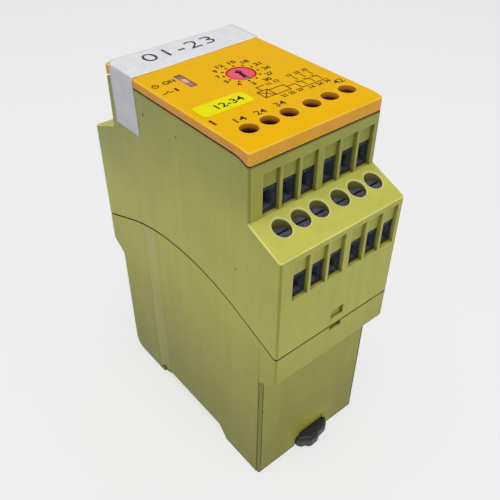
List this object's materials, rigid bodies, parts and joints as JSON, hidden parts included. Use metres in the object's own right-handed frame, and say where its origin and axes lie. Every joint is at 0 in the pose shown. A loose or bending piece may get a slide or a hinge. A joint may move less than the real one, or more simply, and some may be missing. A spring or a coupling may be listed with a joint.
{
  "type": "safety relay",
  "caption": "Narrow rail-mounted timing safety relay: two-shell housing with stepped screw-terminal tiers, coloured front plate, time dial, status window and a sprung rail foot.",
  "frame": {"origin": "centre of the footprint on the rail side, at the bottom of the bounding box", "axes": "+Z from the rail side to the front plate, Y along the 87 mm length between the terminal ends with the sprung foot at -Y, X across the 45 mm width with the folded label tape on the -X side"},
  "size_m": [0.0451, 0.087, 0.1216],
  "materials": {
    "housing": "fine moulded grain",
    "plate": "smooth moulded, light sheen",
    "foot": "moulded, glass filled",
    "spring": "drawn wire",
    "dial": "moulded, slightly translucent",
    "window": "clear tinted",
    "tape": "printed label tape",
    "sticker": "printed paper film",
    "led_green": "diffused",
    "led_yellow": "diffused",
    "switch_case": "moulded",
    "laminate": "solder mask",
    "relay_case": "sealed case",
    "can_sleeve": "shrink sleeve",
    "film_case": "potted case",
    "disc_coat": "dipped coat",
    "black_case": "moulded",
    "block": "moulded",
    "cage": "zinc plated",
    "screw": "zinc plated, slotted",
    "bar": "tinned"
  },
  "bodies": {
    "housing": {"board_fuse": "black_case", "bridge_rectifier": "black_case", "clamp_cages_far_lower": "cage", "clamp_cages_far_upper": "cage", "clamp_cages_near_lower": "cage", "clamp_cages_near_upper": "cage", "current_bars_far_lower": "bar", "current_bars_far_upper": "bar", "current_bars_near_lower": "bar", "current_bars_near_upper": "bar", "dial_switch_body": "switch_case", "driver_chip": "black_case", "film_capacitor": "film_case", "foot_spring": "spring", "front_board": "laminate", "front_pin_strip": "black_case", "front_plate": "plate", "logic_chip": "black_case", "lower_housing": "housing", "main_board": "laminate", "number_sticker": "sticker", "output_led": "led_yellow", "power_led": "led_green", "relay_board": "laminate", "relay_pin_strip": "black_case", "safety_relay_1": "relay_case", "safety_relay_2": "relay_case", "safety_relay_3": "relay_case", "smoothing_capacitor": "can_sleeve", "stack_pin_strip": "black_case", "status_lens": "window", "tape_label": "tape", "terminal_block_far_lower_left": "block", "terminal_block_far_lower_right": "block", "terminal_block_far_upper_left": "block", "terminal_block_far_upper_right": "block", "terminal_block_near_lower_left": "block", "terminal_block_near_lower_right": "block", "terminal_block_near_upper_left": "block", "terminal_block_near_upper_right": "block", "terminal_screws_far_lower": "screw", "terminal_screws_far_upper": "screw", "terminal_screws_near_lower": "screw", "terminal_screws_near_upper": "screw", "timer_chip": "black_case", "timing_capacitor": "can_sleeve", "upper_board": "laminate", "upper_housing": "housing", "varistor": "disc_coat"},
    "foot": {"rail_foot": "foot"},
    "dial": {"time_dial": "dial"}
  },
  "joints": [
    {"name": "foot_slide", "type": "slide", "parent": "housing", "child": "foot", "axis": [0, -1, 0], "range_m": [0, 0.0035], "stiffness_N_per_m": 1500, "springref_m": -0.002, "deforming": ["foot_spring"]},
    {"name": "dial_turn", "type": "hinge", "parent": "housing", "child": "dial", "pos_m": [0.00225, 0.0014, 0.1211], "axis": [0, 0, -1], "range_deg": [-165, 165]}
  ]
}
